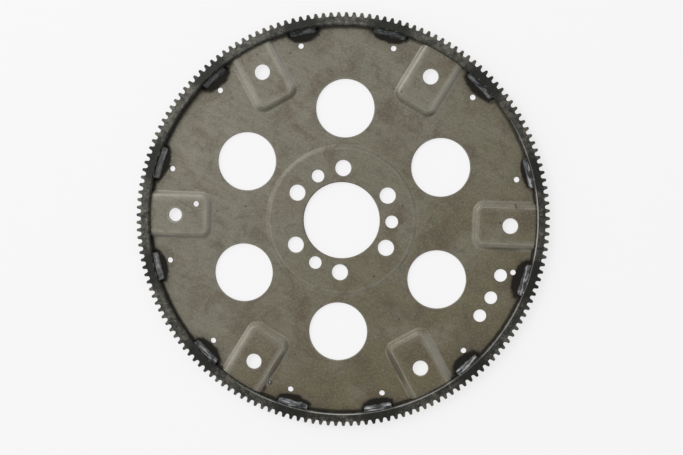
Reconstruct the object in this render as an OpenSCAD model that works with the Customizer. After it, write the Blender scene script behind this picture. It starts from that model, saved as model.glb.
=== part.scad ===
// Flexplate: a stamped steel disc with a starter ring gear welded round its rim.
// Millimetres. The back lies on Z = 0, +Z points to the converter side, and the first crank hole is on +Y.

/* [Ring gear] */
// Number of teeth
tooth_count = 168; // [164:1:180]
// Pressure angle of the teeth in degrees
pressure_angle = 14.5; // [14.5:0.5:22]
// Thickness of a tooth on the pitch circle, as a share of the pitch
tooth_share = 0.435; // [0.38:0.005:0.48]
// Rounding at the foot of a tooth
root_round = 0.9; // [0.3:0.1:1]
// Rounding at the tip of a tooth
tip_round = 0.4; // [0.1:0.05:0.5]
// Angle of the first tooth from +X in degrees
tooth_phase = 0.35; // [0:0.05:2]
// Bore of the ring
ring_bore_d = 336.6; // [332:0.1:339]
// Wall of the ring from its bore to the foot of the teeth
ring_wall = 7.24; // [6:0.01:9]
// Face width of the ring
ring_width = 9.5; // [8:0.1:12]
// Chamfer round the bore on the converter side
bore_chamfer = 1.4; // [0.4:0.1:2]
// Bevel on the tooth ends on the engine side
pinion_bevel = 1.2; // [0.4:0.1:2]

/* [Disc] */
// Thickness of the sheet
sheet_t = 2.5; // [1.8:0.1:3.2]
// Gap all round between the disc's rim and the ring's bore
rim_clearance = 0.1; // [0.05:0.05:0.3]
// Inside radius of the bends in the sheet
bend_r = 2; // [1:0.1:2.5]
// Rolled edge of a large punched hole
hole_roll = 0.5; // [0.2:0.1:0.8]
// Rolled edge of a small punched hole
small_roll = 0.3; // [0.1:0.05:0.5]

/* [Hub] */
// Diameter of the flat on the hub
hub_flat_d = 125.2; // [120:0.2:130]
// Rise of the hub above the web
hub_rise = 0.8; // [0.6:0.1:2.5]
// Slope of the hub's flank in degrees
hub_slope = 20; // [15:1:45]
// Diameter of the pilot hole
pilot_d = 66.5; // [60:0.1:70]
// Chamfer of the pilot hole
pilot_chamfer = 0.8; // [0.2:0.1:1.2]
// Bolt circle of the crank holes
crank_pcd = 91; // [89:0.1:96]
// Diameter of a crank hole
crank_hole_d = 14; // [11:0.1:15]
// Circle of the three relief holes
relief_pcd = 87.4; // [86:0.1:92]
// Diameter of a relief hole
relief_hole_d = 11.1; // [8:0.1:12]

/* [Windows] */
// Circle of the six windows
window_pcd = 195; // [192:0.5:200]
// Diameter of a window
window_d = 50.8; // [40:0.1:54]

/* [Converter pads] */
// Bolt circle of the converter holes
pad_pcd = 292.1; // [288:0.1:296]
// Diameter of a converter hole
pad_hole_d = 13.4; // [10:0.1:15]
// Diameter of the close-fitting converter hole
locating_hole_d = 11.6; // [9:0.1:13]
// Width of the pad's flat
pad_flat_w = 31; // [26:0.5:34]
// Reach of the pad's flat inwards from the bolt circle
pad_reach = 27; // [22:0.5:28]
// Rise of the pads above the web
pad_rise = 3; // [2.5:0.1:5]
// Slope of the pad's flanks in degrees
pad_slope = 46; // [35:1:60]
// Corner radius of the pad's flat
pad_corner_r = 4.5; // [2:0.5:8]
// Gap between the ring's bore and the outer edge of a pad
pad_edge_gap = 0.5; // [0.2:0.1:1.5]

/* [Small holes] */
// Circle of the twelve weld-side holes
side_hole_pcd = 310.8; // [306:0.2:314]
// Diameter of a weld-side hole
side_hole_d = 4.8; // [3:0.1:6]
// Diameter of an index hole
index_hole_d = 11.1; // [8:0.1:13]
// Distance of the tooling hole from the axis
tooling_r = 128.4; // [124:0.2:132]
// Angle of the tooling hole in degrees
tooling_angle = 175.5; // [174:0.1:177]
// Diameter of the tooling hole
tooling_hole_d = 5; // [3:0.1:7]

/* [Weld beads] */
// Reach of a bead inwards over the web
weld_reach = 4.2; // [3:0.1:5.5]
// Share of the bore chamfer that a bead covers
weld_cover = 0.8; // [0.3:0.05:0.95]
// Height of a bead's crown above a straight fillet
weld_crown = 0.9; // [0.3:0.1:1.4]

/* [Hidden] */
// Names of the parts
// Part to draw
$fn = 96;

// Numbers of repeated features
crank_count = 6;
window_count = 6;
pad_count = 6;
relief_count = 3;
side_hole_count = 12;
// Angles of the first crank hole, window, pad, relief hole and weld-side hole
crank_start = 90;
window_start = 30;
pad_start = 0;
relief_start = 0;
side_hole_start = 15;
// The pad with the close-fitting hole, counted from the first
locating_pad = 3;
// Angles of the index holes, which share the converter bolt circle
index_angles = [327.3, 334.5, 342.8];
// Middle and length of each weld bead in degrees round the axis
welds = [
    [16.0, 9.2], [45.9, 10.0], [77.3, 10.0], [103.4, 8.0], [133.6, 8.3], [164.3, 9.7],
    [196.0, 8.6], [226.1, 8.9], [257.0, 9.2], [282.9, 8.5], [312.9, 8.0], [343.9, 9.5]
];

// Tooth proportions in modules, those of a stub tooth
addendum = 0.75;
dedendum = 1.07;
// Degrees in a radian
radian = 180 / PI;
// Small overlap that takes a cut clear of a face
past = 1;

// Radii of the gear, whose module follows from its bore, wall and number of teeth
bore_r = ring_bore_d / 2;
root_r = bore_r + ring_wall;
tooth_module = 2 * root_r / (tooth_count - 2 * dedendum);
pitch_r = tooth_count * tooth_module / 2;
base_r = pitch_r * cos(pressure_angle);
tip_r = pitch_r + addendum * tooth_module;
tooth_step = 360 / tooth_count;
disc_r = bore_r - rim_clearance;
pad_edge_r = bore_r - pad_edge_gap;

// Radius of the sheet's middle line summed over the two bends of a step
bend_sum = 2 * bend_r + sheet_t;
// Steepest slope of a low step, as a share of the slope at which its two bends touch
steepest = 0.95;
// Points on each bend of a step, and the flat that a pad's section keeps past its foot
bend_steps = 5;
lap = 0.5;
// Coordinates are kept to four decimals, so that neighbouring sections share their corners
function tidy(v) = round(v * 10000) / 10000;
function step_angle(rise, slope) = min(slope, steepest * acos(max(0, 1 - rise / bend_sum)));
function step_straight(rise, angle) = (rise - bend_sum * (1 - cos(angle))) / sin(angle);
function step_run(rise, angle) =
    round(1000 * (bend_sum * sin(angle) + step_straight(rise, angle) * cos(angle))) / 1000;
// Arc of a step's section about a centre, between two angles measured from straight down
function bend_arc(centre, r, from, to) = [
    for (i = [0 : bend_steps])
        let(a = mix(from, to, i / bend_steps))
        [tidy(centre[0] + r * sin(a)), tidy(centre[1] - r * cos(a))]
];
// Front and back line of a step that goes up from its foot at the origin, from foot to head
function step_front(rise, angle) = concat(
    bend_arc([0, sheet_t + bend_r], bend_r, 0, angle),
    bend_arc([step_run(rise, angle), rise - bend_r], bend_r + sheet_t, 180 + angle, 180)
);
function step_back(rise, angle) = concat(
    bend_arc([0, sheet_t + bend_r], bend_r + sheet_t, 0, angle),
    bend_arc([step_run(rise, angle), rise - bend_r], bend_r, 180 + angle, 180)
);
// The same line turned round, so that it goes down outwards to its foot at the given distance
function outwards(line, foot) = [for (i = [len(line) - 1 : -1 : 0]) [tidy(foot - line[i][0]), line[i][1]]];
function backwards(line) = [for (i = [len(line) - 1 : -1 : 0]) line[i]];

hub_angle = step_angle(hub_rise, hub_slope);
hub_run = step_run(hub_rise, hub_angle);
hub_flat_r = hub_flat_d / 2;
hub_foot_r = hub_flat_r + hub_run;
hub_top = hub_rise + sheet_t;
pad_angle = step_angle(pad_rise, pad_slope);
pad_run = step_run(pad_rise, pad_angle);
pad_inner = pad_pcd / 2 - pad_reach;
pad_corner_x = pad_inner + pad_corner_r;
pad_corner_y = pad_flat_w / 2 - pad_corner_r;
pad_top = pad_rise + sheet_t;

function polar(r, a) = [r * cos(a), r * sin(a)];
function mix(a, b, t) = a + (b - a) * t;

// Involute tooth: half its angular width at radius r
function involute(r) = let(a = acos(base_r / r)) tan(a) * radian - a;
function half_width(r) = tooth_share * tooth_step / 2 + involute(pitch_r) - involute(r);

// One flank from foot to tip as pairs of radius and half width
flank_steps = 2;
root_mid = 0.3;
flank_low = root_r + root_round;
flank_high = tip_r - tip_round;
flank = concat(
    [[root_r, half_width(root_r) + root_round / root_r * radian]],
    [[root_r + root_round * root_mid, half_width(root_r) + root_round * root_mid / root_r * radian]],
    [for (i = [0 : flank_steps]) let(r = mix(flank_low, flank_high, i / flank_steps)) [r, half_width(r)]],
    [[tip_r, half_width(tip_r) - tip_round / tip_r * radian]]
);
flank_last = len(flank) - 1;

module tooth_outline() {
    polygon([
        for (k = [0 : tooth_count - 1])
            let(middle = tooth_phase + k * tooth_step)
            for (j = [0 : 2 * flank_last + 1])
                let(p = flank[j <= flank_last ? j : 2 * flank_last + 1 - j], side = j <= flank_last ? -1 : 1)
                polar(p[0], middle + side * p[1])
    ]);
}

// Section of the ring: bore, bore chamfer and the bevel across the tooth ends
module ring_section() {
    polygon([
        [bore_r, 0],
        [tip_r - pinion_bevel, 0],
        [tip_r + past, pinion_bevel + past],
        [tip_r + past, ring_width],
        [bore_r + bore_chamfer, ring_width],
        [bore_r, ring_width - bore_chamfer]
    ]);
}

module ring_gear() {
    color("dimgray")
        intersection() {
            linear_extrude(ring_width) tooth_outline();
            rotate_extrude() ring_section();
        }
}

// Section of the disc without its pads, from the pilot hole to the rim
module disc_section() {
    front = outwards(step_front(hub_rise, hub_angle), hub_foot_r);
    back = outwards(step_back(hub_rise, hub_angle), hub_foot_r);
    polygon(concat(
        [[pilot_d / 2, hub_top]], front, [[disc_r, sheet_t], [disc_r, 0]],
        backwards(back), [[pilot_d / 2, hub_rise]]
    ));
}

// Half section of a pad, from its middle out to just past the foot of its flank
module pad_half_section(flat) {
    foot = flat + pad_run;
    front = outwards(step_front(pad_rise, pad_angle), foot);
    back = outwards(step_back(pad_rise, pad_angle), foot);
    polygon(concat(
        [[0, pad_top]], front, [[foot + lap, sheet_t], [foot + lap, 0]],
        backwards(back), [[0, pad_rise]]
    ));
}

// One pad lying along +X, from its inner end to past the rim
module pad() {
    intersection() {
        translate([pad_corner_x, 0, 0])
            rotate([90, 0, 90])
                linear_extrude(bore_r - pad_corner_x) {
                    pad_half_section(pad_flat_w / 2);
                    mirror([1, 0]) pad_half_section(pad_flat_w / 2);
                }
        cylinder(r = pad_edge_r, h = pad_top + past);
    }
    translate([pad_corner_x, pad_corner_y, 0])
        rotate([90, 0, 0])
            linear_extrude(2 * pad_corner_y)
                mirror([1, 0]) pad_half_section(pad_corner_r);
    for (side = [0, 1])
        mirror([0, side, 0])
            translate([pad_corner_x, pad_corner_y, 0])
                rotate([0, 0, 90])
                    rotate_extrude(angle = 90) pad_half_section(pad_corner_r);
}

// Opening in the web under one pad, out to the foot of its flanks
module pad_opening() {
    foot_w = pad_flat_w + 2 * pad_run;
    foot_r = pad_corner_r + pad_run;
    height = sheet_t + 2 * past;
    translate([pad_corner_x, -foot_w / 2, -past]) cube([disc_r, foot_w, height]);
    translate([pad_inner - pad_run, -pad_corner_y, -past])
        cube([pad_corner_r + pad_run, 2 * pad_corner_y, height]);
    for (side = [-1, 1])
        translate([pad_corner_x, side * pad_corner_y, -past]) cylinder(r = foot_r, h = height);
}

// Punched hole at a radius and an angle, with its edge rolled over at the height of the face
module punched_hole(r, a, d, face, roll) {
    rotate([0, 0, a])
        translate([r, 0, 0]) {
            translate([0, 0, -past]) cylinder(d = d, h = face + 2 * past);
            translate([0, 0, face - roll])
                cylinder(r1 = d / 2, r2 = d / 2 + roll + past, h = roll + past);
        }
}

module flex_disc() {
    color("darkkhaki")
        difference() {
            union() {
                difference() {
                    rotate_extrude() disc_section();
                    for (k = [0 : pad_count - 1]) rotate([0, 0, pad_start + k * 360 / pad_count]) pad_opening();
                }
                for (k = [0 : pad_count - 1]) rotate([0, 0, pad_start + k * 360 / pad_count]) pad();
            }
            punched_hole(0, 0, pilot_d, hub_top, pilot_chamfer);
            for (k = [0 : crank_count - 1])
                punched_hole(crank_pcd / 2, crank_start + k * 360 / crank_count, crank_hole_d, hub_top, small_roll);
            for (k = [0 : relief_count - 1])
                punched_hole(relief_pcd / 2, relief_start + k * 360 / relief_count, relief_hole_d, hub_top, small_roll);
            for (k = [0 : window_count - 1])
                punched_hole(window_pcd / 2, window_start + k * 360 / window_count, window_d, sheet_t, hole_roll);
            for (k = [0 : pad_count - 1])
                punched_hole(
                    pad_pcd / 2, pad_start + k * 360 / pad_count,
                    k == locating_pad ? locating_hole_d : pad_hole_d, pad_top, small_roll
                );
            for (k = [0 : side_hole_count - 1])
                punched_hole(
                    side_hole_pcd / 2, side_hole_start + k * 360 / side_hole_count,
                    side_hole_d, sheet_t, small_roll
                );
            for (a = index_angles) punched_hole(pad_pcd / 2, a, index_hole_d, sheet_t, small_roll);
            punched_hole(tooling_r, tooling_angle, tooling_hole_d, pad_top, small_roll);
        }
}

// Weld bead: sections along an arc, full in the middle and round at the ends
bead_end = 0.2;
bead_bluntness = 4;
bead_points = 7;
end_steps = 4;
middle_steps = 6;
chamfer_foot = ring_width - bore_chamfer;
bead_top = chamfer_foot + weld_cover * bore_chamfer;
// Size of the section along the bead, where u runs from -1 to 1
function bead_size(u) = mix(bead_end, 1, pow(max(0, 1 - pow(abs(u), bead_bluntness)), 1 / bead_bluntness));
// Height of the bead's upper edge, and the radius of the ring's wall or chamfer at a height
function upper_edge(size) = mix(sheet_t, bead_top, size);
function wall_r(z) = bore_r + max(0, z - chamfer_foot);
// Place along the bead where its upper edge comes down to the chamfer's foot
turn_size = (chamfer_foot - sheet_t) / (bead_top - sheet_t);
turn = pow(1 - pow(max(0, turn_size - bead_end) / (1 - bead_end), bead_bluntness), 1 / bead_bluntness);
bead_half = concat(
    [for (i = [0 : middle_steps / 2 - 1]) turn * 2 * i / middle_steps],
    [for (i = [0 : end_steps]) mix(turn, 1, sin(90 * i / end_steps))]
);
half_last = len(bead_half) - 1;
stations = [for (i = [-half_last : half_last]) sign(i) * bead_half[abs(i)]];
function crown_point(size, t) =
    let(
        toe = [bore_r - weld_reach * size, sheet_t],
        head = [wall_r(upper_edge(size)), upper_edge(size)],
        along = head - toe,
        out = [-along[1], along[0]] / norm(along)
    )
    mix(toe, head, t) + out * weld_crown * size * sin(180 * t);
// The wall point is the chamfer's foot where the bead lies over it, and halfway up the wall elsewhere
function wall_point(u) =
    [bore_r, abs(u) < turn ? chamfer_foot : mix(sheet_t, upper_edge(bead_size(u)), 0.5)];
// Points of a section from the root corner in along the web, over the crown and back down the ring
function bead_section(u) = concat(
    [[bore_r, sheet_t]],
    [for (j = [0 : bead_points - 1]) crown_point(bead_size(u), j / (bead_points - 1))],
    [wall_point(u)]
);

module weld_bead(index) {
    middle = welds[index][0];
    length = welds[index][1];
    count = bead_points + 2;
    points = [
        for (u = stations)
            let(a = middle + u * length / 2)
            for (p = bead_section(u)) [p[0] * cos(a), p[0] * sin(a), p[1]]
    ];
    // Each strip is split along the diagonal that leads back to the bead's middle at the ring
    sides = [
        for (i = [0 : len(stations) - 2])
            for (j = [0 : count - 1])
                let(a = i * count + j, b = i * count + (j + 1) % count, c = a + count, d = b + count)
                for (face = i < half_last ? [[a, c, d], [a, d, b]] : [[a, c, b], [b, c, d]]) face
    ];
    end = (len(stations) - 1) * count;
    first = [for (j = [0 : count - 3]) [count - 1, j, j + 1]];
    last = [for (j = [0 : count - 3]) [end + count - 1, end + j + 1, end + j]];
    color("slategray") polyhedron(points, concat(sides, first, last));
}

flex_disc();
ring_gear();
weld_bead(0);  // weld_bead_01
weld_bead(1);  // weld_bead_02
weld_bead(2);  // weld_bead_03
weld_bead(3);  // weld_bead_04
weld_bead(4);  // weld_bead_05
weld_bead(5);  // weld_bead_06
weld_bead(6);  // weld_bead_07
weld_bead(7);  // weld_bead_08
weld_bead(8);  // weld_bead_09
weld_bead(9);  // weld_bead_10
weld_bead(10);  // weld_bead_11
weld_bead(11);  // weld_bead_12
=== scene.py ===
# Flexplate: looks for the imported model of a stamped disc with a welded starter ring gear.
import math
import random

import bpy
from mathutils import Matrix, Vector


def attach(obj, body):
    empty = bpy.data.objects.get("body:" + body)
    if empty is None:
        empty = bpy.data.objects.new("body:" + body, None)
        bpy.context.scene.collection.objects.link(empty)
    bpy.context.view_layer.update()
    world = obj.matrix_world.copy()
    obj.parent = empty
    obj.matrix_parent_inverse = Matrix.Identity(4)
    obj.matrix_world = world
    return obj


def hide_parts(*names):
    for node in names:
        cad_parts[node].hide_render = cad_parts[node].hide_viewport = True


MM = 0.001

# Sizes of the part that the looks follow, in millimetres
BORE_R = 168.3
SHEET_T = 2.5
RING_WIDTH = 9.5
BORE_CHAMFER = 1.4
ROOT_R = 175.54
HUB_FLAT_R = 62.6
HUB_FOOT_R = 65.9
WINDOW_R = 97.5
WINDOW_HOLE_R = 25.4
CRANK_R = 45.5
CRANK_HOLE_R = 7.0
PAD_R = 146.05
PAD_HOLE_R = 6.7
PAD_INNER = 119.05
PAD_HALF = 15.5
PAD_CORNER = 4.5
PAD_RUN = 5.65
PAD_EDGE_R = 167.8
WELD_REACH = 4.2
# Angles of the first window and crank hole and of the first pad, and the step to the next, in degrees
WINDOW_START = 30
PAD_START = 0
HOLE_STEP = 60
# Middle and length of each weld bead in degrees round the axis, and how far its soot spreads
WELDS = [
    (16.0, 9.2, 0.76),
    (45.9, 10.0, 1.0),
    (77.3, 10.0, 0.95),
    (103.4, 8.0, 1.08),
    (133.6, 8.3, 1.14),
    (164.3, 9.7, 0.98),
    (196.0, 8.6, 1.0),
    (226.1, 8.9, 1.04),
    (257.0, 9.2, 0.95),
    (282.9, 8.5, 1.0),
    (312.9, 8.0, 1.15),
    (343.9, 9.5, 1.28),
]

# Camera: focal length and frame in pixels, turn as a rotation vector, offset in millimetres
IMAGE_WIDTH = 683
FOCAL_PX = 1200
SENSOR_MM = 36
CAMERA_TURN = (0.0421771, -0.0609789, -0.033414)
CAMERA_OFFSET = (0.229, 6.442, -1048.7)

# Scale that takes the height out of a texture's place
FLAT = 1000
# Middle of the values that a noise gives
NOISE_MIDDLE = 0.5

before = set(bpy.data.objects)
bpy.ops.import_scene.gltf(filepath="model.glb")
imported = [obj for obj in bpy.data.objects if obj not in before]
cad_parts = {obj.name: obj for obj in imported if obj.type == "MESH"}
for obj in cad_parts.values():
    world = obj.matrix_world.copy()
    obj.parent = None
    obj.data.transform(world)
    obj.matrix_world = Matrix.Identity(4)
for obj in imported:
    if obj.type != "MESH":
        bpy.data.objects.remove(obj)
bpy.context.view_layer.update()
scene = bpy.context.scene
scene.view_settings.view_transform = "Standard"


def polar(radius, degrees, height):
    angle = math.radians(degrees)
    return Vector((radius * math.cos(angle), radius * math.sin(angle), height)) * MM


def mix(a, b, t):
    return a + (b - a) * t


def colour(red, green, blue):
    return (red, green, blue, 1.0)


# Shader helpers
class Shader:
    """Node tree of one material, with short calls for the nodes that the looks use."""

    def __init__(self, name):
        self.material = bpy.data.materials.new(name)
        self.material.use_nodes = True
        self.tree = self.material.node_tree
        self.surface = self.tree.nodes["Principled BSDF"]
        self.place = self.node("ShaderNodeTexCoord").outputs["Object"]

    def node(self, kind, **settings):
        made = self.tree.nodes.new(kind)
        for key, value in settings.items():
            setattr(made, key, value)
        return made

    def feed(self, socket, value):
        if isinstance(value, bpy.types.NodeSocket):
            self.tree.links.new(value, socket)
        else:
            socket.default_value = value

    def set(self, name, value):
        """Gives an input of the surface a value or a link."""
        self.feed(self.surface.inputs[name], value)

    def math(self, operation, *values):
        made = self.node("ShaderNodeMath", operation=operation)
        for socket, value in zip(made.inputs, values):
            self.feed(socket, value)
        return made.outputs[0]

    def chain(self, operation, first, *others):
        """The operation on the first two values, then on the result and each value that follows."""
        for other in others:
            first = self.math(operation, first, other)
        return first

    def most(self, *values):
        return self.chain("MAXIMUM", *values)

    def product(self, *values):
        return self.chain("MULTIPLY", *values)

    def split(self, vector):
        made = self.node("ShaderNodeSeparateXYZ")
        self.feed(made.inputs[0], vector)
        return made.outputs

    def join(self, x, y):
        made = self.node("ShaderNodeCombineXYZ")
        self.feed(made.inputs[0], x)
        self.feed(made.inputs[1], y)
        return made.outputs[0]

    def folded(self, start):
        """Both flat coordinates, turned back into the sixth of the disc round the start angle."""
        axes = self.split(self.place)
        angle = self.math("ARCTAN2", axes["Y"], axes["X"])
        half = math.radians(HOLE_STEP / 2)
        turned = self.math("WRAP", self.math("SUBTRACT", angle, math.radians(start)), half, -half)
        reach = self.length(self.join(axes["X"], axes["Y"]))
        along = self.product(reach, self.math("COSINE", turned))
        return along, self.product(reach, self.math("SINE", turned))

    def rim(self, along, across, middle, radius, width):
        """One at the edge of a hole, fading to nothing over the width outside it."""
        away = self.length(self.join(self.math("SUBTRACT", along, middle * MM), across))
        return self.ramp_mm(away, radius, radius + width, 1.0, 0.0)

    def band(self, value, middle, spread):
        """One where the value is the middle, fading to nothing at the spread either side."""
        off = self.math("ABSOLUTE", self.math("SUBTRACT", value, middle * MM))
        return self.ramp_mm(off, 0.0, spread, 1.0, 0.0)

    def weighted(self, masks, weights):
        """Sum of the masks, each times its weight."""
        return self.chain("ADD", *[self.product(mask, weight) for mask, weight in zip(masks, weights)])

    def between(self, factor, a, b):
        """The first value where the factor is nothing, the second where it is one."""
        return self.math("ADD", a, self.product(factor, self.math("SUBTRACT", b, a)))

    def swayed(self, value, noise, strength):
        """The value, moved up and down by a noise."""
        return self.math("ADD", value, self.product(self.math("SUBTRACT", noise, NOISE_MIDDLE), strength))

    def near_welds(self, depth, beyond, inset):
        """Distance from the nearest weld in ellipses, one on the rim of its ellipse."""
        gaps = []
        for middle, length, spread in WELDS:
            half = math.radians(length / 2) * BORE_R + beyond * spread
            size = (depth * spread * MM, half * MM, FLAT)
            gaps.append(self.length(self.mapped(polar(BORE_R - inset, middle, 0), middle, size)))
        return self.chain("MINIMUM", *gaps)

    def ellipse(self, x, y, half_x, half_y, turn):
        """Distance from a spot in its half sizes, one on the rim of its ellipse."""
        return self.length(self.mapped((x * MM, y * MM, 0), turn, (half_x * MM, half_y * MM, FLAT)))

    def noise(self, scale, detail, roughness, distortion, place=None):
        made = self.node("ShaderNodeTexNoise")
        self.feed(made.inputs["Vector"], place or self.place)
        made.inputs["Scale"].default_value = scale
        made.inputs["Detail"].default_value = detail
        made.inputs["Roughness"].default_value = roughness
        made.inputs["Distortion"].default_value = distortion
        return made.outputs["Fac"]

    def ramp(self, value, low, high, start=0.0, end=1.0):
        made = self.node("ShaderNodeMapRange", interpolation_type="SMOOTHSTEP")
        self.feed(made.inputs["Value"], value)
        made.inputs["From Min"].default_value = low
        made.inputs["From Max"].default_value = high
        made.inputs["To Min"].default_value = start
        made.inputs["To Max"].default_value = end
        return made.outputs["Result"]

    def ramp_mm(self, value, low, high, start=0.0, end=1.0):
        """A ramp whose limits are in millimetres."""
        return self.ramp(value, low * MM, high * MM, start, end)

    def mapped(self, location=(0, 0, 0), turn=0.0, scale=(1, 1, 1)):
        made = self.node("ShaderNodeMapping", vector_type="TEXTURE")
        self.feed(made.inputs["Vector"], self.place)
        made.inputs["Location"].default_value = location
        made.inputs["Rotation"].default_value = (0, 0, math.radians(turn))
        made.inputs["Scale"].default_value = scale
        return made.outputs["Vector"]

    def length(self, vector):
        made = self.node("ShaderNodeVectorMath", operation="LENGTH")
        self.feed(made.inputs[0], vector)
        return made.outputs["Value"]

    def blend(self, factor, a, b):
        made = self.node("ShaderNodeMix", data_type="RGBA")
        self.feed(made.inputs["Factor"], factor)
        self.feed(made.inputs["A"], a)
        self.feed(made.inputs["B"], b)
        return made.outputs["Result"]

    def bump(self, height, strength, distance, under=None):
        made = self.node("ShaderNodeBump")
        self.feed(made.inputs["Height"], height)
        made.inputs["Strength"].default_value = strength
        made.inputs["Distance"].default_value = distance
        if under is not None:
            self.feed(made.inputs["Normal"], under)
        return made.outputs["Normal"]


# NOISE: scale, detail, roughness, distortion. BUMP: strength, then distance in metres.
# FADE: two limits, in millimetres in FADE_MM, then the share at each where these aren't 0 and 1.

# Dark marks on the disc: place and half sizes in millimetres, turn in degrees
MARKS = [
    (137.4, 2.6, 1.0, 1.5, 20),
    (150.2, 17.1, 0.9, 3.0, 15),
    (30.0, -48.0, 1.1, 0.9, 0),
    (-84.6, 9.1, 1.0, 0.8, 0),
    (-49.1, 143.4, 1.0, 0.8, 0),
    (-63.0, -150.5, 4.5, 1.8, 68),
    (-58.5, -145.0, 2.2, 2.2, 0),
    (107.6, -107.6, 1.8, 1.8, 0),
]
MARK_FADE = (0.4, 1.15, 0.8, 0.0)
# Brown grime on the flanks of pads: place and half sizes in millimetres, turn in degrees, strength
GRIME = [
    (51.7, -126.1, 21.0, 3.0, 300, 0.6),
    (140.0, -20.3, 18.0, 1.5, 0, 0.55),
    (-53.0, -128.8, 17.0, 2.8, 240, 0.5),
]
GRIME_LIMITS = (0.55, 1.1)
GRIME_COLOUR = colour(0.062, 0.05, 0.032)
# Painted light on each pad's flanks, how strongly each is lightened, pad by pad round the axis: clockwise
# side, anticlockwise side, inner end
FLANK_PAINTED_LIGHT = [
    (0.6, 0.35, 0.42),
    (1.15, 0.75, 0.0),
    (1.1, 1.15, 0.15),
    (0.9, 0.55, 0.65),
    (1.0, 0.95, 0.34),
    (0.35, 1.1, 0.2),
]

# Tone of the disc
GREY_STEEL = colour(0.189, 0.179, 0.139)
BROWN_STEEL = colour(0.157, 0.141, 0.085)
LOWER_STEEL = colour(0.135, 0.107, 0.06)
PAINTED_LIGHT_STEEL = colour(0.25, 0.238, 0.19)
BLOTCH_NOISE = (16, 5, 0.6, 0.4)
BLOTCH_SWAY = 0.5
BROWN_FADE_MM = (-160, 240)
LOWER_FADE_MM = (-170, -30, 0.5, 0.0)
# Painted light: paler towards the left of the disc and of the hub, where the light falls
LEFT_FADE_MM = (-160, -30, 0.3, 0.0)
HUB_PALE = (-55.0, 10.0, 30.0, 45.0, 0)
HUB_PALE_FADE = (0.2, 1.2, 0.25, 0.0)
PATCH_NOISE = (34, 6, 0.62, 0.8)
STAIN_FADE = (0.46, 0.66, 0.0, 0.72)
STAIN_COLOUR = colour(0.115, 0.09, 0.063)
PALE_NOISE = (26, 4, 0.55, 0.3)
PALE_FADE = (0.5, 0.7, 0.0, 0.5)
PALE_COLOUR = colour(0.23, 0.22, 0.175)
CLOUD_NOISE = (105, 5, 0.62, 0.6)
CLOUD_FADE = (0.48, 0.7, 0.0, 0.46)
CLOUD_COLOUR = colour(0.092, 0.079, 0.056)
STREAK_TURN = -24
STREAK_SIZE = (0.09, 0.004, FLAT)
STREAK_NOISE = (1.0, 5, 0.6, 0.2)
STREAK_FADE = (0.36, 0.68, 0.0, 0.26)
STREAK_COLOUR = colour(0.1, 0.092, 0.07)
STREAK_BUMP = (0.1, 0.0006)
GRAIN_NOISE = (560, 3, 0.75, 0)
BRIGHT_GRAIN_FADE = (0.48, 0.72, 0.0, 0.42)
BRIGHT_GRAIN = colour(0.29, 0.28, 0.24)
DARK_GRAIN_FADE = (0.5, 0.28, 0.0, 0.35)
DARK_GRAIN = colour(0.075, 0.067, 0.05)
GRAIN_BUMP = (0.15, 0.0002)
DISC_SPECULAR = 0.25
PATCH_ROUGH = 0.22

# Bright wear and painted highlights on the disc, and painted light on the pad flanks: widths in millimetres,
# and shares
WINDOW_WEAR = 1.3
CRANK_WEAR = 1.0
PAD_WEAR = 1.1
# Painted highlights along the top and the foot of each pad's flanks, their shares rising from the upper left
# to the lower right
TOP_LINE = 1.1
TOP_LINE_FADE_MM = (-100, 120, 0.4, 0.95)
FOOT_LINE = 0.8
FOOT_LINE_FADE_MM = (-100, 120, 0.1, 0.6)
HUB_TOP_LINE = 1.3
HUB_TOP_SHARE = 0.5
HUB_FOOT_LINE = 0.9
HUB_FOOT_SHARE = 0.4
# Painted highlight on the hub's slope, none at the upper left
HUB_SLOPE_LINE = 2.4
HUB_SLOPE_FADE_MM = (-30, 70, 0.0, 0.75)
WEAR_AND_HIGHLIGHT_NOISE = (75, 4, 0.65, 0.4)
WEAR_AND_HIGHLIGHT_FADE = (0.34, 0.62, 0.15, 0.6)
WEAR_AND_HIGHLIGHT_COLOUR = colour(0.33, 0.32, 0.28)
# Painted light on the pad flanks: where it rises and falls across a flank, in millimetres, its noise, and
# how strongly it shows
FLANK_RISE_FADE_MM = (-1.2, 4.0)
FLANK_TOP_FADE_MM = (-4.5, -1.0, 0.0, 0.28)
FLANK_FALL_FADE_MM = (4.0, 5.9, 1.0, 0.0)
SIDE_FADE_MM = (-2.0, 2.0)
END_FADE_MM = (PAD_INNER - 1, PAD_INNER + 6, 1.0, 0.0)
FLANK_LIGHT_NOISE = (22, 3, 0.5, 0)
FLANK_LIGHT_FADE = (0.35, 0.62, 0.8, 1.0)
FLANK_LIGHT_SHARE = 0.86
FLANK_LIGHT_COLOUR = colour(0.4, 0.385, 0.335)
FLANK_LIGHT_SMOOTH = 0.12

# Small specks on the disc
SPECK_SCALE = 55
SPECK_FADE = (0.03, 0.075, 1.0, 0.0)
SPECK_CHOICE = 0.62
SPECK_SHARE = 0.55
SPECK_COLOUR = colour(0.035, 0.028, 0.022)

# Soot on the disc, and painted shade in the corner at the ring: a REACH is depth, length beyond the bead and
# inset of the middle, in millimetres
SOOT_NOISE = (150, 4, 0.65, 0)
SOOT_SWAY = 0.5
SOOT_REACH = (9.2, 4.2, 1.5)
SOOT_FADE = (0.8, 1.07, 1.0, 0.0)
SOOT_AND_SHADE_COLOUR = colour(0.0112, 0.0093, 0.0068)
SOOT_AND_SHADE_METAL_FADE = (0.0, 0.8, 0.45, 0.02)
SOOT_AND_SHADE_ROUGH_FADE = (0.0, 0.8, 0.42, 0.78)
HAZE_REACH = (17.0, 12.0, 1.5)
HAZE_FADE = (0.45, 1.1, 0.3, 0.0)
HAZE_COLOUR = colour(0.068, 0.05, 0.04)
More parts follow.
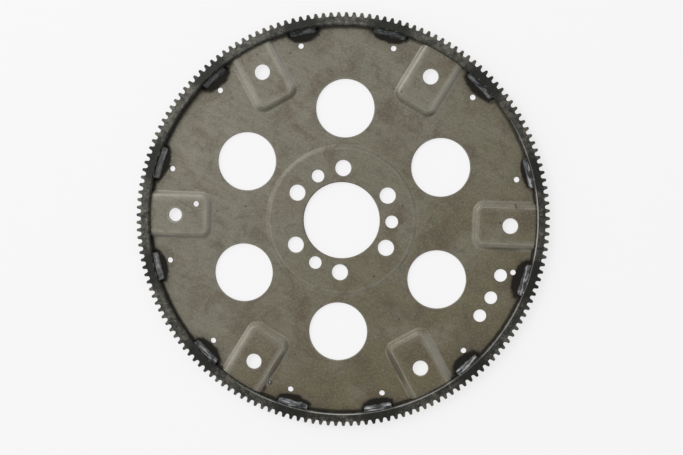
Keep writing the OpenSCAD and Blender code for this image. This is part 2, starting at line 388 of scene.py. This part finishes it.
# Painted shade in the corner between the disc and the ring, weaker towards the top
CORNER_SHADE_SWAY = 1.5 * MM
CORNER_SHADE_FADE_MM = (BORE_R - 3.0, BORE_R - 1.0)
CORNER_SHADE_UPPER_FADE_MM = (0, 170, 1.0, 0.6)
CORNER_SHADE_HEIGHT_FADE_MM = (SHEET_T + 0.3, SHEET_T + 1.2, 0.85, 0.0)


def disc_tone(s, axes, across, flat):
    """Colour of the bare disc, and the noises that its roughness and bump use."""
    lean = s.swayed(across, s.noise(*BLOTCH_NOISE, flat), BLOTCH_SWAY)
    patch = s.noise(*PATCH_NOISE, flat)
    streak = s.noise(*STREAK_NOISE, s.mapped(turn=STREAK_TURN, scale=STREAK_SIZE))
    grain = s.noise(*GRAIN_NOISE, flat)
    base = s.blend(s.ramp_mm(lean, *BROWN_FADE_MM), GREY_STEEL, BROWN_STEEL)
    for factor, tint in (
        (s.ramp_mm(axes["Y"], *LOWER_FADE_MM), LOWER_STEEL),
        (s.ramp(patch, *STAIN_FADE), STAIN_COLOUR),
        (s.ramp(s.noise(*PALE_NOISE, flat), *PALE_FADE), PALE_COLOUR),
        # Painted light: paler towards the left of the disc and of the hub
        (s.ramp_mm(axes["X"], *LEFT_FADE_MM), PAINTED_LIGHT_STEEL),
        (s.ramp(s.ellipse(*HUB_PALE), *HUB_PALE_FADE), PAINTED_LIGHT_STEEL),
        (s.ramp(s.noise(*CLOUD_NOISE, flat), *CLOUD_FADE), CLOUD_COLOUR),
        (s.ramp(streak, *STREAK_FADE), STREAK_COLOUR),
        (s.ramp(grain, *BRIGHT_GRAIN_FADE), BRIGHT_GRAIN),
        (s.ramp(grain, *DARK_GRAIN_FADE), DARK_GRAIN),
    ):
        base = s.blend(factor, base, tint)
    return base, patch, streak, grain


def pad_flank_light(s, axes, reach, pad_along, pad_across):
    """How strongly painted light lightens the flanks of the pad in each sector."""
    half_cosine = math.cos(math.radians(HOLE_STEP / 2))
    sectors = []
    for number in range(len(FLANK_PAINTED_LIGHT)):
        angle = math.radians(PAD_START + number * HOLE_STEP)
        forward = s.weighted((axes["X"], axes["Y"]), (math.cos(angle), math.sin(angle)))
        sectors.append(s.math("GREATER_THAN", forward, s.product(reach, half_cosine)))
    clockwise, anticlockwise, inner_end = [s.weighted(sectors, column) for column in zip(*FLANK_PAINTED_LIGHT)]
    sides = s.between(s.ramp_mm(pad_across, *SIDE_FADE_MM), clockwise, anticlockwise)
    return s.between(s.ramp_mm(pad_along, *END_FADE_MM), sides, inner_end)


# Disc: oily rolled steel, greyer at the upper left, browner at the lower right, sooty beside the welds, with
# painted light on the left and on the pad flanks, painted highlights along the pads and hub, and painted
# shade at the ring
def disc_material():
    s = Shader("oiled_rolled_steel")
    flat = s.mapped(scale=(1, 1, FLAT))
    axes = s.split(s.place)
    across = s.math("SUBTRACT", axes["X"], axes["Y"])
    reach = s.length(s.join(axes["X"], axes["Y"]))
    base, patch, streak, grain = disc_tone(s, axes, across, flat)

    # Bright wear on the rims of the holes and at the top and foot of the hub's step, and painted highlights
    # along the edges of the pads and on the hub's slope, stronger towards the lower right
    window_along, window_across = s.folded(WINDOW_START)
    pad_along, pad_across = s.folded(PAD_START)
    beside = s.math("SUBTRACT", s.math("ABSOLUTE", pad_across), (PAD_HALF - PAD_CORNER) * MM)
    before = s.math("SUBTRACT", (PAD_INNER + PAD_CORNER) * MM, pad_along)
    outside = s.join(s.most(beside, 0.0), s.most(before, 0.0))
    edge = s.math("SUBTRACT", s.length(outside), PAD_CORNER * MM)
    hub_middle = (HUB_FLAT_R + HUB_FOOT_R) / 2
    worn = s.most(
        s.rim(window_along, window_across, WINDOW_R, WINDOW_HOLE_R, WINDOW_WEAR),
        s.rim(window_along, window_across, CRANK_R, CRANK_HOLE_R, CRANK_WEAR),
        s.rim(pad_along, pad_across, PAD_R, PAD_HOLE_R, PAD_WEAR),
        s.product(s.band(edge, 0.0, TOP_LINE), s.ramp_mm(across, *TOP_LINE_FADE_MM)),
        s.product(s.band(edge, PAD_RUN, FOOT_LINE), s.ramp_mm(across, *FOOT_LINE_FADE_MM)),
        s.product(s.band(reach, HUB_FLAT_R, HUB_TOP_LINE), HUB_TOP_SHARE),
        s.product(s.band(reach, HUB_FOOT_R, HUB_FOOT_LINE), HUB_FOOT_SHARE),
        s.product(s.band(reach, hub_middle, HUB_SLOPE_LINE), s.ramp_mm(across, *HUB_SLOPE_FADE_MM)),
    )
    broken = s.ramp(s.noise(*WEAR_AND_HIGHLIGHT_NOISE, flat), *WEAR_AND_HIGHLIGHT_FADE)
    base = s.blend(s.product(worn, broken), base, WEAR_AND_HIGHLIGHT_COLOUR)

    # Painted light on the flanks of the pads, which are also made smoother there
    flank = s.most(s.ramp_mm(edge, *FLANK_RISE_FADE_MM), s.ramp_mm(edge, *FLANK_TOP_FADE_MM))
    flank = s.product(flank, s.ramp_mm(edge, *FLANK_FALL_FADE_MM))
    flank_share = pad_flank_light(s, axes, reach, pad_along, pad_across)
    flank_light = s.product(flank, flank_share, s.ramp(s.noise(*FLANK_LIGHT_NOISE, flat), *FLANK_LIGHT_FADE))
    base = s.blend(s.product(flank_light, FLANK_LIGHT_SHARE), base, FLANK_LIGHT_COLOUR)

    # Grime, small dark specks and a few larger marks
    for *spot, strength in GRIME:
        base = s.blend(s.ramp(s.ellipse(*spot), *GRIME_LIMITS, strength, 0.0), base, GRIME_COLOUR)
    dots = s.node("ShaderNodeTexVoronoi", feature="F1")
    s.feed(dots.inputs["Vector"], flat)
    dots.inputs["Scale"].default_value = SPECK_SCALE
    tint = s.node("ShaderNodeSeparateColor")
    s.feed(tint.inputs[0], dots.outputs["Color"])
    chosen = s.math("GREATER_THAN", tint.outputs[0], SPECK_CHOICE)
    speck = s.product(s.ramp(dots.outputs["Distance"], *SPECK_FADE), chosen, SPECK_SHARE)
    speck = s.most(speck, *[s.ramp(s.ellipse(*mark), *MARK_FADE) for mark in MARKS])
    base = s.blend(speck, base, SPECK_COLOUR)

    # Soot beside the welds, and painted shade in the corner at the ring
    ragged = s.noise(*SOOT_NOISE, flat)
    haze = s.ramp(s.swayed(s.near_welds(*HAZE_REACH), ragged, SOOT_SWAY), *HAZE_FADE)
    base = s.blend(haze, base, HAZE_COLOUR)
    corner_shade = s.product(
        s.ramp_mm(s.swayed(reach, ragged, CORNER_SHADE_SWAY), *CORNER_SHADE_FADE_MM),
        s.ramp_mm(axes["Y"], *CORNER_SHADE_UPPER_FADE_MM),
        s.ramp_mm(axes["Z"], *CORNER_SHADE_HEIGHT_FADE_MM),
    )
    soot_and_shade = s.ramp(s.swayed(s.near_welds(*SOOT_REACH), ragged, SOOT_SWAY), *SOOT_FADE)
    soot_and_shade = s.most(soot_and_shade, corner_shade)
    base = s.blend(soot_and_shade, base, SOOT_AND_SHADE_COLOUR)

    rough = s.math("ADD", s.product(patch, PATCH_ROUGH), s.ramp(soot_and_shade, *SOOT_AND_SHADE_ROUGH_FADE))
    s.set("Base Color", base)
    s.set("Specular IOR Level", DISC_SPECULAR)
    s.set("Metallic", s.ramp(soot_and_shade, *SOOT_AND_SHADE_METAL_FADE))
    s.set("Roughness", s.math("SUBTRACT", rough, s.product(flank_light, FLANK_LIGHT_SMOOTH)))
    s.set("Normal", s.bump(streak, *STREAK_BUMP, s.bump(grain, *GRAIN_BUMP)))
    return s.material


# Tone of the ring gear
RING_DARK = colour(0.036, 0.037, 0.031)
RING_PALE = colour(0.082, 0.081, 0.068)
MOTTLE_NOISE = (70, 5, 0.62, 0.5)
MOTTLE_FADE = (0.36, 0.68)
SHADED_FADE_MM = (-80, 200, 0.0, 0.62)
SHADED_COLOUR = colour(0.02, 0.02, 0.017)
TOOTH_NOISE = (40, 4, 0.6, 0.6)
TOOTH_FADE_MM = (ROOT_R - 0.6, ROOT_R + 2.2)
TOOTH_WEAR_FADE = (0.36, 0.66, 0.25, 0.8)
TOOTH_COLOUR = colour(0.12, 0.106, 0.082)
GRIT_NOISE = (700, 3, 0.65, 0)
GRIT_FADE = (0.45, 0.8, 0.0, 0.4)
GRIT_COLOUR = colour(0.19, 0.182, 0.155)
GRIT_BUMP = (0.15, 0.0002)
SPOT_NOISE = (260, 3, 0.7, 0)
BRIGHT_SPOT_FADE = (0.5, 0.66, 0.0, 0.6)
BRIGHT_SPOT = colour(0.17, 0.16, 0.125)
DARK_SPOT_FADE = (0.5, 0.34, 0.0, 0.75)
SCORCH_REACH = (11.0, 8.0, -3.0)
SCORCH_FADE = (0.5, 1.15, 0.9, 0.0)
SCORCH_COLOUR = colour(0.012, 0.012, 0.01)
RING_ROUGH_FADE = (0.3, 0.75, 0.38, 0.54)
TURNED_SCALE = 1900.0
TURNED_NOISE = (1.0, 2, 0.5, 0)
TURNED_BUMP = (0.12, 0.0002)
# Bore chamfer: bare cut metal with a painted highlight, bright only towards the right and bottom, where it
# faces the light
CUT_HEIGHT_FADE_MM = (RING_WIDTH - 0.9, RING_WIDTH - 0.6)
CUT_REACH_FADE_MM = (BORE_R + BORE_CHAMFER - 0.1, BORE_R + BORE_CHAMFER + 0.1, 1.0, 0.0)
CUT_MOTTLE_FADE = (0.3, 0.55, 0.7, 1.0)
CUT_SIDE_FADE_MM = (30, 140, 0.04, 1.0)
CUT_CORNER_FADE_MM = (190, 236, 1.0, 0.5)
CUT_SCORCH_FADE = (0.1, 0.8, 1.0, 0.3)
CUT_METAL_FADE = (0.2, 0.8, 0.6, 0.95)
CUT_HIGHLIGHT_COLOUR = colour(0.42, 0.42, 0.4)
CUT_SMOOTH = 0.16


# Ring gear: dark hardened steel with paler, browner teeth, painted shade towards the lower right, a bore
# chamfer of bare cut metal with a painted highlight, and scorch at the welds
def gear_material():
    s = Shader("hardened_gear_steel")
    axes = s.split(s.place)
    reach = s.length(s.mapped(scale=(1, 1, FLAT)))
    lower_right = s.math("SUBTRACT", axes["X"], axes["Y"])
    mottled = s.noise(*MOTTLE_NOISE)
    grit = s.noise(*GRIT_NOISE)
    spots = s.noise(*SPOT_NOISE)
    scorch = s.ramp(s.near_welds(*SCORCH_REACH), *SCORCH_FADE)
    worn = s.product(s.ramp_mm(reach, *TOOTH_FADE_MM), s.ramp(s.noise(*TOOTH_NOISE), *TOOTH_WEAR_FADE))
    cut_highlight = s.product(
        s.ramp_mm(axes["Z"], *CUT_HEIGHT_FADE_MM),
        s.ramp_mm(reach, *CUT_REACH_FADE_MM),
        s.ramp(mottled, *CUT_MOTTLE_FADE),
        s.ramp_mm(lower_right, *CUT_SIDE_FADE_MM),
        s.ramp_mm(lower_right, *CUT_CORNER_FADE_MM),
        s.ramp(scorch, *CUT_SCORCH_FADE),
    )
    base = s.blend(s.ramp(mottled, *MOTTLE_FADE), RING_DARK, RING_PALE)
    for factor, tint in (
        (s.ramp_mm(lower_right, *SHADED_FADE_MM), SHADED_COLOUR),
        (worn, TOOTH_COLOUR),
        (s.ramp(grit, *GRIT_FADE), GRIT_COLOUR),
        (s.ramp(spots, *BRIGHT_SPOT_FADE), BRIGHT_SPOT),
        (s.ramp(spots, *DARK_SPOT_FADE), SCORCH_COLOUR),
        (scorch, SCORCH_COLOUR),
        (cut_highlight, CUT_HIGHLIGHT_COLOUR),
    ):
        base = s.blend(factor, base, tint)
    turned_place = s.join(s.product(reach, TURNED_SCALE), s.product(axes["Z"], TURNED_SCALE))
    turned = s.noise(*TURNED_NOISE, turned_place)
    plain_rough = s.ramp(mottled, *RING_ROUGH_FADE)
    s.set("Base Color", base)
    s.set("Metallic", s.ramp(cut_highlight, *CUT_METAL_FADE))
    s.set("Roughness", s.math("SUBTRACT", plain_rough, s.product(cut_highlight, CUT_SMOOTH)))
    s.set("Normal", s.bump(turned, *TURNED_BUMP, s.bump(grit, *GRIT_BUMP)))
    return s.material


# Tone of the weld metal
SCALE_DARK = colour(0.048, 0.052, 0.057)
SCALE_PALE = colour(0.16, 0.17, 0.18)
SCALE_NOISE = (140, 2, 0.5, 0.6)
SCALE_FADE = (0.4, 0.66)
SCALE_ROUGH_FADE = (0.35, 0.65, 0.52, 0.38)
# Painted highlight: paler welds at the far left
LEFT_WELD_HIGHLIGHT_FADE_MM = (-165, -100, 0.6, 0.0)
LEFT_WELD_HIGHLIGHT = colour(0.34, 0.35, 0.36)
TOE_FADE_MM = (SHEET_T + 0.9, SHEET_T + 2.2, 0.35, 0.0)
HEAD_FADE_MM = (RING_WIDTH - 1.5, RING_WIDTH - 0.6, 0.0, 0.4)
ENDS_REACH = (BORE_R, 0.0, 0.0)
ENDS_FADE = (0.84, 0.97, 0.0, 0.3)
# Bare metal and painted highlights at the toe, head and ends, and painted highlight lines along the bead,
# both weaker on the upper welds
BARE_AND_HIGHLIGHT_NOISE = (150, 3, 0.6, 0)
BARE_AND_HIGHLIGHT_FADE = (0.36, 0.62, 0.1, 0.95)
BARE_AND_HIGHLIGHT_COLOUR = colour(0.56, 0.565, 0.565)
LINE_AROUND_SCALE = 19.0
LINE_INWARD_SCALE = 700.0
LINE_NOISE = (1.0, 1.5, 0.45, 0.25)
LINE_FADE = (0.48, 0.64, 0.0, 0.75)
UPPER_WELD_HIGHLIGHT_FADE_MM = (50, 150, 1.0, 0.3)
WELD_METAL = 0.85
SKIN_NOISE = (420, 2, 0.5, 0)
SKIN_BUMP = (0.08, 0.0004)


# Weld metal: blue-grey scale with painted highlight lines along the bead, bare metal and painted highlights
# at its toe, head and ends, both weaker on the upper welds, and a painted highlight on the far left welds
def weld_material():
    s = Shader("weld_scale")
    axes = s.split(s.place)
    scale = s.noise(*SCALE_NOISE)
    base = s.blend(s.ramp(scale, *SCALE_FADE), SCALE_DARK, SCALE_PALE)
    base = s.blend(s.ramp_mm(axes["X"], *LEFT_WELD_HIGHLIGHT_FADE_MM), base, LEFT_WELD_HIGHLIGHT)
    toe = s.ramp_mm(axes["Z"], *TOE_FADE_MM)
    head = s.ramp_mm(axes["Z"], *HEAD_FADE_MM)
    ends = s.ramp(s.near_welds(*ENDS_REACH), *ENDS_FADE)
    # Bare metal and painted highlights at the toe, head and ends; painted highlight lines along the bead;
    # both weaker on the upper welds
    bare_and_highlight = s.product(s.most(toe, head, ends), s.ramp(s.noise(*BARE_AND_HIGHLIGHT_NOISE), *BARE_AND_HIGHLIGHT_FADE))
    around = s.product(s.math("ARCTAN2", axes["Y"], axes["X"]), LINE_AROUND_SCALE)
    inward = s.product(s.length(s.join(axes["X"], axes["Y"])), LINE_INWARD_SCALE)
    highlight_lines = s.ramp(s.noise(*LINE_NOISE, s.join(around, inward)), *LINE_FADE)
    bare_and_highlight = s.product(s.most(bare_and_highlight, highlight_lines), s.ramp_mm(axes["Y"], *UPPER_WELD_HIGHLIGHT_FADE_MM))
    s.set("Base Color", s.blend(bare_and_highlight, base, BARE_AND_HIGHLIGHT_COLOUR))
    s.set("Metallic", WELD_METAL)
    s.set("Roughness", s.ramp(scale, *SCALE_ROUGH_FADE))
    s.set("Normal", s.bump(s.noise(*SKIN_NOISE), *SKIN_BUMP))
    return s.material


# Painted shade: a nearly black material for strips in the slits at the pads
SLIT_SHADE_DARK = colour(0.009, 0.008, 0.007)
SLIT_SHADE_PALE = colour(0.026, 0.021, 0.017)
SLIT_SHADE_NOISE = (320, 4, 0.65, 0)
SLIT_SHADE_FADE = (0.42, 0.68)
SLIT_SHADE_ROUGH_FADE = (0.35, 0.7, 0.9, 0.7)
SLIT_SHADE_BUMP = (0.3, 0.0003)


def slit_shade_material():
    s = Shader("slit_shade")
    shade_noise = s.noise(*SLIT_SHADE_NOISE)
    s.set("Base Color", s.blend(s.ramp(shade_noise, *SLIT_SHADE_FADE), SLIT_SHADE_DARK, SLIT_SHADE_PALE))
    s.set("Roughness", s.ramp(shade_noise, *SLIT_SHADE_ROUGH_FADE))
    s.set("Normal", s.bump(shade_noise, *SLIT_SHADE_BUMP))
    return s.material


# Table: white, partly lit from within for camera, mirror and see-through rays, so its shadow stays faint
TABLE_COLOUR = colour(0.86, 0.86, 0.87)
TABLE_ROUGH = 0.9
TABLE_SPECULAR = 0.0
GLOW_COLOUR = colour(1.0, 0.992, 1.0)
TABLE_GLOW = 0.8
TABLE_WHITE = 0.95


def floor_material():
    s = Shader("white_table")
    s.set("Base Color", TABLE_COLOUR)
    s.set("Roughness", TABLE_ROUGH)
    s.set("Specular IOR Level", TABLE_SPECULAR)
    glow = s.node("ShaderNodeEmission")
    glow.inputs["Color"].default_value = GLOW_COLOUR
    glow.inputs["Strength"].default_value = TABLE_WHITE
    ray = s.node("ShaderNodeLightPath")
    rays = ("Is Camera Ray", "Is Glossy Ray", "Is Transmission Ray")
    seen = s.most(*[ray.outputs[name] for name in rays])
    both = s.node("ShaderNodeMixShader")
    s.feed(both.inputs[0], s.product(seen, TABLE_GLOW))
    s.feed(both.inputs[1], s.surface.outputs[0])
    s.feed(both.inputs[2], glow.outputs[0])
    s.feed(s.tree.nodes["Material Output"].inputs["Surface"], both.outputs[0])
    return s.material


# Mesh helpers, and the angle in degrees over which an edge of a smooth piece stays sharp
SHARP_ANGLE = 50


def new_object(name, verts, faces, material):
    mesh = bpy.data.meshes.new(name)
    mesh.from_pydata(verts, [], faces)
    mesh.validate()
    mesh.update()
    mesh.materials.append(material)
    made = bpy.data.objects.new(name, mesh)
    scene.collection.objects.link(made)
    return made


def smooth(obj):
    for poly in obj.data.polygons:
        poly.use_smooth = True
    obj.data.set_sharp_from_angle(angle=math.radians(SHARP_ANGLE))


def shade(obj, material):
    obj.data.materials.clear()
    obj.data.materials.append(material)


# Weld bead with faint ripples, a ragged toe, blunt ends and a crater near each end, lengths in millimetres
BEAD_SEED = 3
BEAD_STATIONS = 72
BEAD_POINTS = 14
BEAD_BLUNT = 5
BEAD_END = 0.3
BEAD_CROWN = -0.35
BEAD_TOP_GAP = 0.25
BEAD_LIP = 0.55
LIP_RISE = 6
RIPPLE_PITCH = 1.7
RIPPLE_HEIGHT = 0.06
RIPPLE_BEND = 2.4
CRATER_DEPTH = 0.55
CRATER_INSET = 3.2
CRATER_WIDTH = 1.3
# Waves that make a bead uneven: how many, range of pitch, range of share, run, and sway of toe and crown
WOBBLE_WAVES = 4
WOBBLE_PITCH = (0.5, 3.0)
WOBBLE_SHARE = (0.4, 1.0)
WOBBLE_RUN = 2.2
TOE_SWAY = 0.45
CROWN_SWAY = 0.25
# Gap that keeps a piece off the solid under it, and the height over which a bead's back is lowered by it
SKIN_GAP = 0.02
BACK_HEIGHT = 5


def wobble_wave(rng):
    pitch = rng.uniform(*WOBBLE_PITCH)
    phase = rng.uniform(0, math.tau)
    return pitch, phase, rng.uniform(*WOBBLE_SHARE)


def weld_bead(index, material):
    middle, length, _ = WELDS[index]
    rng = random.Random(index + BEAD_SEED)
    wobble = [wobble_wave(rng) for _ in range(WOBBLE_WAVES)]
    arc = math.radians(length) * BORE_R
    base = SHEET_T + SKIN_GAP
    verts = []
    for i in range(BEAD_STATIONS + 1):
        u = -math.cos(math.pi * i / BEAD_STATIONS)
        size = mix(BEAD_END, 1.0, (max(0.0, 1 - abs(u) ** BEAD_BLUNT)) ** (1 / BEAD_BLUNT))
        along = u * arc / 2
        angle = middle + math.degrees(along / BORE_R)
        sway = sum(k * math.sin(along * f / WOBBLE_RUN + p) for f, p, k in wobble) / len(wobble)
        toe = (BORE_R - WELD_REACH * size - TOE_SWAY * sway * size, base)
        top = mix(SHEET_T, RING_WIDTH - BEAD_TOP_GAP, size)
        chamfer = max(0.0, top - (RING_WIDTH - BORE_CHAMFER))
        head = (BORE_R + chamfer - SKIN_GAP, top)
        run = (head[0] - toe[0], head[1] - toe[1])
        span = math.hypot(*run)
        out = (-run[1] / span, run[0] / span)
        crater_place = (abs(along) - arc / 2 + CRATER_INSET) / CRATER_WIDTH
        crater = CRATER_DEPTH * math.exp(-(crater_place ** 2))
        for j in range(BEAD_POINTS + 1):
            t = j / BEAD_POINTS
            hump = math.sin(math.pi * t)
            wave = math.cos(math.tau * (along + RIPPLE_BEND * hump) / RIPPLE_PITCH)
            lip = BEAD_LIP * min(1.0, LIP_RISE * t) * (1 - t)
            crown = BEAD_CROWN + CROWN_SWAY * sway + RIPPLE_HEIGHT * wave - crater
            lift = size * (hump * crown + lip)
            radius = mix(toe[0], head[0], t) + out[0] * lift
            height = mix(toe[1], head[1], t) + out[1] * lift
            verts.append(polar(radius, angle, max(height, base)))
        for height in (min(top, RING_WIDTH - BORE_CHAMFER), base):
            back = height - SKIN_GAP * (height > BACK_HEIGHT)
            verts.append(polar(BORE_R - SKIN_GAP, angle, back))
    count = len(verts) // (BEAD_STATIONS + 1)
    faces = []
    for i in range(BEAD_STATIONS):
        for j in range(count):
            a = i * count + j
            b = i * count + (j + 1) % count
            faces.append((a, b, b + count, a + count))
    faces.append(tuple(reversed(range(count))))
    faces.append(tuple(range(BEAD_STATIONS * count, BEAD_STATIONS * count + count)))
    bead = new_object(f"weld_{index + 1:02d}", verts, faces, material)
    smooth(bead)
    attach(bead, "root")
    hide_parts(f"weld_bead_{index + 1:02d}")


# Drops of weld metal that landed on the disc: place and radius in millimetres
SPATTER = [
    (-58.5, -145.0, 1.25),
    (107.6, -107.6, 1.0),
]
DROP_ROWS = 6
DROP_SIDES = 16
DROP_FLATTEN = 0.8


def weld_spatter(material):
    verts = []
    faces = []
    for x, y, radius in SPATTER:
        first = len(verts)
        for i in range(DROP_ROWS):
            rise = i / DROP_ROWS * math.pi / 2
            reach = radius * math.cos(rise)
            height = SHEET_T + SKIN_GAP + DROP_FLATTEN * radius * math.sin(rise)
            for j in range(DROP_SIDES):
                angle = math.tau * j / DROP_SIDES
                verts.append(Vector((x + reach * math.cos(angle), y + reach * math.sin(angle), height)) * MM)
        top = len(verts)
        verts.append(Vector((x, y, SHEET_T + SKIN_GAP + DROP_FLATTEN * radius)) * MM)
        for i in range(DROP_ROWS - 1):
            for j in range(DROP_SIDES):
                a = first + i * DROP_SIDES + j
                b = first + i * DROP_SIDES + (j + 1) % DROP_SIDES
                faces.append((a, b, b + DROP_SIDES, a + DROP_SIDES))
        last = top - DROP_SIDES
        for j in range(DROP_SIDES):
            faces.append((last + j, last + (j + 1) % DROP_SIDES, top))
        faces.append(tuple(reversed(range(first, first + DROP_SIDES))))
    drops = new_object("weld_spatter", verts, faces, material)
    smooth(drops)
    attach(drops, "root")


# Nearly black strip of painted shade that closes the slit between the outer edge of a pad and the ring,
# lengths in millimetres
SEAM_STEPS = 24
SEAM_GAP = 0.04
SEAM_LOW = 0.3
SEAM_HIGH = 2.2


def slit_shade_strip(index, material):
    turn = PAD_START + index * HOLE_STEP
    half = math.degrees((PAD_HALF + PAD_RUN) / PAD_EDGE_R)
    inner = PAD_EDGE_R + SEAM_GAP
    outer = BORE_R - SEAM_GAP
    section = [(inner, SEAM_LOW), (outer, SEAM_LOW), (outer, SEAM_HIGH), (inner, SEAM_HIGH)]
    verts = []
    for i in range(SEAM_STEPS + 1):
        angle = turn + mix(-half, half, i / SEAM_STEPS)
        verts.extend(polar(radius, angle, height) for radius, height in section)
    count = len(section)
    faces = []
    for i in range(SEAM_STEPS):
        for j in range(count):
            a = i * count + j
            b = i * count + (j + 1) % count
            faces.append((a, a + count, b + count, b))
    faces.append(tuple(range(count)))
    faces.append(tuple(reversed(range(SEAM_STEPS * count, SEAM_STEPS * count + count))))
    strip = new_object(f"slit_shade_strip_{index + 1}", verts, faces, material)
    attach(strip, "root")


# Build
shade(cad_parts["flex_disc"], disc_material())
shade(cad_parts["ring_gear"], gear_material())
weld_metal = weld_material()
for number in range(len(WELDS)):
    weld_bead(number, weld_metal)
weld_spatter(weld_metal)
# Painted shade: black strips in the slits between the pads and the ring
slit_shade = slit_shade_material()
for number in range(len(FLANK_PAINTED_LIGHT)):
    slit_shade_strip(number, slit_shade)

# Floor: half its side in metres, and its drop below the part in millimetres
FLOOR_HALF = 8.0
FLOOR_DROP = 0.1
floor_corners = [
    (-FLOOR_HALF, -FLOOR_HALF, 0),
    (FLOOR_HALF, -FLOOR_HALF, 0),
    (FLOOR_HALF, FLOOR_HALF, 0),
    (-FLOOR_HALF, FLOOR_HALF, 0),
]
floor = new_object("floor", floor_corners, [(0, 1, 2, 3)], floor_material())
floor.location.z = -FLOOR_DROP * MM

# Camera at the photograph's place
turn = Vector(CAMERA_TURN)
to_camera = Matrix.Rotation(turn.length, 3, turn.normalized())
to_world = to_camera.transposed()
camera_data = bpy.data.cameras.new("camera")
camera_data.sensor_width = SENSOR_MM
camera_data.lens = FOCAL_PX / IMAGE_WIDTH * SENSOR_MM
camera = bpy.data.objects.new("camera", camera_data)
camera.matrix_world = to_world.to_4x4()
camera.location = to_world @ (-Vector(CAMERA_OFFSET)) * MM
scene.collection.objects.link(camera)
scene.camera = camera


def area_light(name, place, size, power):
    data = bpy.data.lights.new(name, "AREA")
    data.shape = "DISK"
    data.size = size
    data.energy = power
    lamp = bpy.data.objects.new(name, data)
    lamp.location = place
    lamp.rotation_mode = "QUATERNION"
    lamp.rotation_quaternion = (-Vector(place)).to_track_quat("-Z", "Y")
    scene.collection.objects.link(lamp)


# Soft light from the top left of the picture, with a sky that is brighter towards that side
KEY_PLACE = (-0.95, 0.75, 1.5)
KEY_SIZE = 1.0
KEY_POWER = 15
SKY_COLOUR = colour(1.0, 0.995, 0.985)
SKY_DARK = 0.26
SKY_BRIGHT = 1.14
SKY_WAY = (-0.82, 0.572, 0)
FACING_AWAY = -1
area_light("key", KEY_PLACE, KEY_SIZE, KEY_POWER)
world = bpy.data.worlds.new("studio")
world.use_nodes = True
scene.world = world
sky = world.node_tree
background = sky.nodes["Background"]
background.inputs["Color"].default_value = SKY_COLOUR
toward = sky.nodes.new("ShaderNodeTexCoord")
facing = sky.nodes.new("ShaderNodeVectorMath")
facing.operation = "DOT_PRODUCT"
facing.inputs[1].default_value = SKY_WAY
sky.links.new(toward.outputs["Generated"], facing.inputs[0])
level = sky.nodes.new("ShaderNodeMapRange")
level.inputs["From Min"].default_value = FACING_AWAY
level.inputs["To Min"].default_value = SKY_DARK
level.inputs["To Max"].default_value = SKY_BRIGHT
sky.links.new(facing.outputs["Value"], level.inputs["Value"])
sky.links.new(level.outputs["Result"], background.inputs["Strength"])
